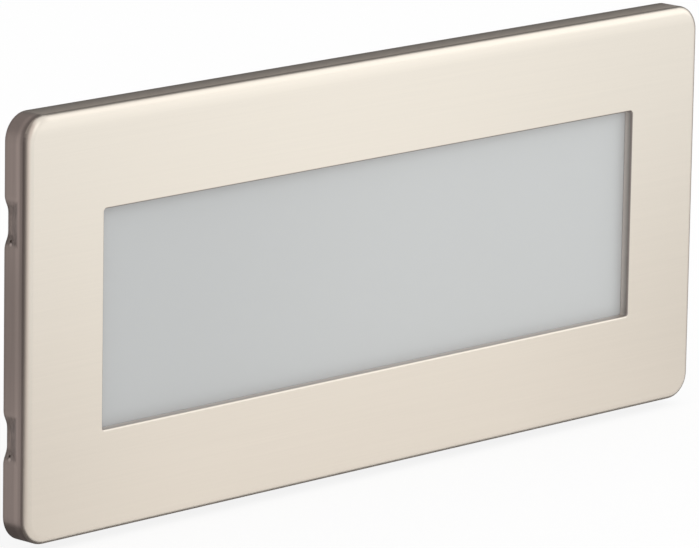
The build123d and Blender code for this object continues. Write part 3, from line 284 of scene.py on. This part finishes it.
# Each finish: its darker and lighter colour, and what differs from a plain moulded surface
drawn_strip = dict(metallic=1.0, rough=(0.22, 0.36), scale=700.0, stretch=(1, 1, 0.06))
insulation = dict(rough=(0.32, 0.45))
plain_finishes = {
    "frame_plastic": ((0.045, 0.045, 0.048), (0.075, 0.075, 0.079), dict(rough=(0.46, 0.62))),
    "foam": ((0.018, 0.018, 0.020), (0.050, 0.050, 0.053),
             dict(rough=(0.85, 0.97), scale=1500.0, depth=0.00015, strength=0.7)),
    "silicone": ((0.42, 0.43, 0.44), (0.52, 0.53, 0.54), dict(rough=(0.5, 0.62))),
    "thermal_pad": ((0.30, 0.38, 0.50), (0.38, 0.46, 0.58), dict(rough=(0.7, 0.85))),
    "spring_steel": ((0.46, 0.45, 0.44), (0.60, 0.59, 0.57), drawn_strip),
    "cast_aluminium": ((0.50, 0.505, 0.51), (0.62, 0.625, 0.63),
                       dict(metallic=1.0, rough=(0.42, 0.58), scale=650.0, depth=0.00008)),
    "white_plastic": ((0.76, 0.76, 0.745), (0.83, 0.83, 0.815), dict(rough=(0.28, 0.40))),
    "board_white": ((0.74, 0.75, 0.74), (0.82, 0.83, 0.82), dict(rough=(0.30, 0.42), scale=1200.0)),
    "led_package": ((0.78, 0.58, 0.14), (0.88, 0.70, 0.24), dict(rough=(0.30, 0.45))),
    "rubber_black": ((0.012, 0.012, 0.012), (0.028, 0.028, 0.029), dict(rough=(0.62, 0.78))),
    "lead_red": ((0.36, 0.022, 0.018), (0.46, 0.034, 0.028), insulation),
    "lead_brown": ((0.105, 0.042, 0.018), (0.15, 0.062, 0.028), insulation),
    "lead_green": ((0.085, 0.22, 0.030), (0.13, 0.29, 0.045), insulation),
    "driver_case": ((0.66, 0.66, 0.64), (0.74, 0.74, 0.72), dict(rough=(0.45, 0.60))),
    "terminal_plastic": ((0.62, 0.60, 0.53), (0.70, 0.68, 0.61), {}),
    "brass": ((0.62, 0.46, 0.20), (0.74, 0.57, 0.27), dict(metallic=1.0, rough=(0.26, 0.38), scale=800.0)),
    "tinned_copper": ((0.56, 0.55, 0.52), (0.68, 0.67, 0.63),
                      dict(metallic=1.0, rough=(0.30, 0.44), scale=800.0)),
    "cover_plastic": ((0.030, 0.030, 0.032), (0.058, 0.058, 0.061),
                      dict(rough=(0.44, 0.62), scale=1100.0, depth=0.00008)),
    "gland_plastic": ((0.014, 0.014, 0.015), (0.034, 0.034, 0.036), dict(rough=(0.36, 0.52))),
    "zinc": ((0.40, 0.40, 0.41), (0.53, 0.53, 0.54), dict(metallic=1.0, rough=(0.40, 0.56), depth=0.0001)),
    "zinc_plated_steel": ((0.52, 0.52, 0.50), (0.66, 0.66, 0.63), dict(metallic=1.0, rough=(0.24, 0.38))),
}
finishes = {"satin_nickel": satin_nickel(), "frosted_glass": frosted_glass()}
for name, (low, high, options) in plain_finishes.items():
    finishes[name] = finish(name, low, high, **options)
for subpart in frame["record"]["subparts"]:
    piece = nodes[subpart["node"]]
    piece.data.materials.clear()
    piece.data.materials.append(finishes[subpart["material_slot"]])


# Stage
def card(name, corners, faces, material):
    """A flat or folded studio card."""
    mesh = bpy.data.meshes.new(name)
    mesh.from_pydata(corners, [], faces)
    mesh.materials.append(material)
    piece = bpy.data.objects.new(name, mesh)
    scene.collection.objects.link(piece)
    return piece


def reflection_only(piece):
    piece.visible_camera = piece.visible_diffuse = piece.visible_shadow = piece.visible_transmission = False


def flag(name, corners, faces, strength):
    """A grey card that only reflections show."""
    t = Tree(name)
    glow = t.nodes.new("ShaderNodeEmission")
    glow.inputs["Color"].default_value = flag_grey
    glow.inputs["Strength"].default_value = strength
    t.emit(glow)
    reflection_only(card(name, corners, faces, t.material))


def graded_card():
    """The paper in front, as the plate mirrors it: brighter further out, and towards the middle of
    the plate."""
    t = Tree("card_front")
    x, y, _ = t.axes(t.place)
    across = t.plus(x, t.times(y, mirror_slope))
    middle = t.size(t.plus(across, 0.02))
    glow = t.nodes.new("ShaderNodeEmission")
    t.put(glow.inputs["Color"], t.blend(t.span(y, -0.06, -0.42, smooth=True), card_near, card_far))
    right_end_change = t.plus(t.span(y, -0.03, -0.17, 0.05, -0.06, smooth=True),
                              t.span(y, -0.2, -0.33, 0.0, 0.04, smooth=True))
    right_end_change = t.times(right_end_change, t.span(across, 0.06, 0.095, smooth=True))
    level = t.times(t.span(y, -0.06, -0.42, 0.93, 1.36, smooth=True),
                    t.span(middle, 0.05, 0.16, 1.0, 0.79, smooth=True))
    t.put(glow.inputs["Strength"], t.times(level, t.plus(right_end_change, 1.0)))
    t.emit(glow)
    left, right, near, far = -0.2, 1.6, -0.009, -1.2
    corners = [(x, y, flag_z) for x, y in ((left, near), (right, near), (right, far), (left, far))]
    reflection_only(card("card_front", corners, [(0, 1, 2, 3)], t.material))


def floor_paper():
    """White paper: its own glow keeps it white in the picture and in reflections, and the rest takes
    the shadow."""
    t = Tree("floor_paper")
    t.set(Base_Color=paper_white, Roughness=0.9, Specular_IOR_Level=0.1)
    path = t.nodes.new("ShaderNodeLightPath").outputs
    seen = t.plus(t.plus(path["Is Camera Ray"], path["Is Glossy Ray"]), path["Is Transmission Ray"])
    glow = t.nodes.new("ShaderNodeEmission")
    glow.inputs["Strength"].default_value = paper_glow
    share = t.nodes.new("ShaderNodeMixShader")
    t.put(share.inputs[0], t.times(t.math("MINIMUM", seen, 1.0), paper_glow_share))
    t.put(share.inputs[1], t.shader.outputs[0])
    t.put(share.inputs[2], glow.outputs[0])
    t.emit(share)
    return t.material


def wedge(name, apex, turn_from, turn_to, height, strength, reach=1.2):
    """A folded flag: a sector of the floor from one end of the plate, and a wall at its far side."""
    corners = [(*apex, flag_z)]
    for turn in (math.radians(turn_from), math.radians(turn_to)):
        x, y = apex[0] + reach * math.cos(turn), apex[1] + reach * math.sin(turn)
        corners += [(x, y, flag_z), (x, y, height)]
    flag(name, corners, [(0, 1, 3), (1, 3, 4, 2)], strength)


def hood(name, apex, turns, strength):
    """A flag folded round one upper corner of the plate and leaning over it."""
    corners = [(apex[0] + reach * math.cos(turn), apex[1] + reach * math.sin(turn), height)
               for turn in map(math.radians, turns) for reach, height in hood_profile]
    row = len(hood_profile)
    faces = [(k, k + 1, k + row + 1, k + row)
             for i in range(len(turns) - 1) for k in range(row * i, row * i + row - 1)]
    flag(name, corners, faces, strength)


card("floor", [(x * floor_reach, y * floor_reach, floor_z) for x, y in ((-1, -1), (1, -1), (1, 1), (-1, 1))],
     [(0, 1, 2, 3)], floor_paper())
for name, apex, turn_from, turn_to, height, strength in (
        ("behind", left_end, 60, 114, 0.45, 0.38),
        ("behind_left", left_end, 114, 142, 0.45, 0.47),
        ("left", left_end, 142, 199, 0.9, 0.20),
        ("left_front", left_end, 199, 211, 0.9, 0.36),
        ("left_open", left_end, 211, 224, 0.9, 0.56),
        ("left_far", left_end, 224, 242, 0.9, 0.76),
        ("right_end", right_end, -14, 60, 0.2, 0.25)):
    wedge(f"flag_{name}", apex, turn_from, turn_to, height, strength)
hood("flag_corner_right", left_end, (34, 60), 0.16)
hood("flag_corner", left_end, (60, 90, 120, 150, 178, 205), 0.30)
hood("flag_corner_front", left_end, (205, 230, 255), 0.75)
flag("flag_under", [(x, y, under_z) for x, y in
                    ((-0.127, -0.0082), (0.13, -0.0082), (0.13, 0.03), (-0.127, 0.03))],
     [(0, 1, 2, 3)], 0.12)
flag("flag_right", [(1.0, 0.15, floor_z), (1.0, 1.3, floor_z), (1.0, 1.3, 1.5), (1.0, 0.15, 1.5)],
     [(0, 1, 2, 3)], 0.16)
graded_card()


def softbox(name, place, aim, width, height, power):
    data = bpy.data.lights.new(name, "AREA")
    data.shape = "RECTANGLE"
    data.size, data.size_y, data.energy = width, height, power
    lamp = bpy.data.objects.new(name, data)
    scene.collection.objects.link(lamp)
    lamp.location = place
    lamp.rotation_euler = (Vector(aim) - Vector(place)).to_track_quat("-Z", "Y").to_euler()
    lamp.visible_camera = False


softbox("key", (1.0, -0.50, 0.58), plate_middle, 1.0, 1.0, 1.5)
softbox("fill", (-0.2, -1.5, 1.2), plate_middle, 1.2, 1.2, 2.0)

world = bpy.data.worlds.new("studio")
scene.world = world
world.use_nodes = True
sky = next(n for n in world.node_tree.nodes if n.type == "BACKGROUND")
sky.inputs["Color"].default_value = sky_white
sky.inputs["Strength"].default_value = sky_strength

# Camera, as solved from the photograph's straight edges
camera = bpy.data.objects.new("camera", bpy.data.cameras.new("camera"))
scene.collection.objects.link(camera)
right = Vector((0.69588, -0.71797, 0.01654))
up = Vector((0.14089, 0.15906, 0.97716))
back = Vector((-0.7042, -0.67766, 0.21184))
stand = Matrix.Translation((-1.17394, -1.12808, 0.34928))
camera.matrix_world = stand @ Matrix((right, up, back)).transposed().to_4x4()
camera.data.sensor_fit = "HORIZONTAL"
camera.data.sensor_width = 36.0
camera.data.lens = 341.87
camera.data.clip_start, camera.data.clip_end = 0.05, 50.0
scene.camera = camera
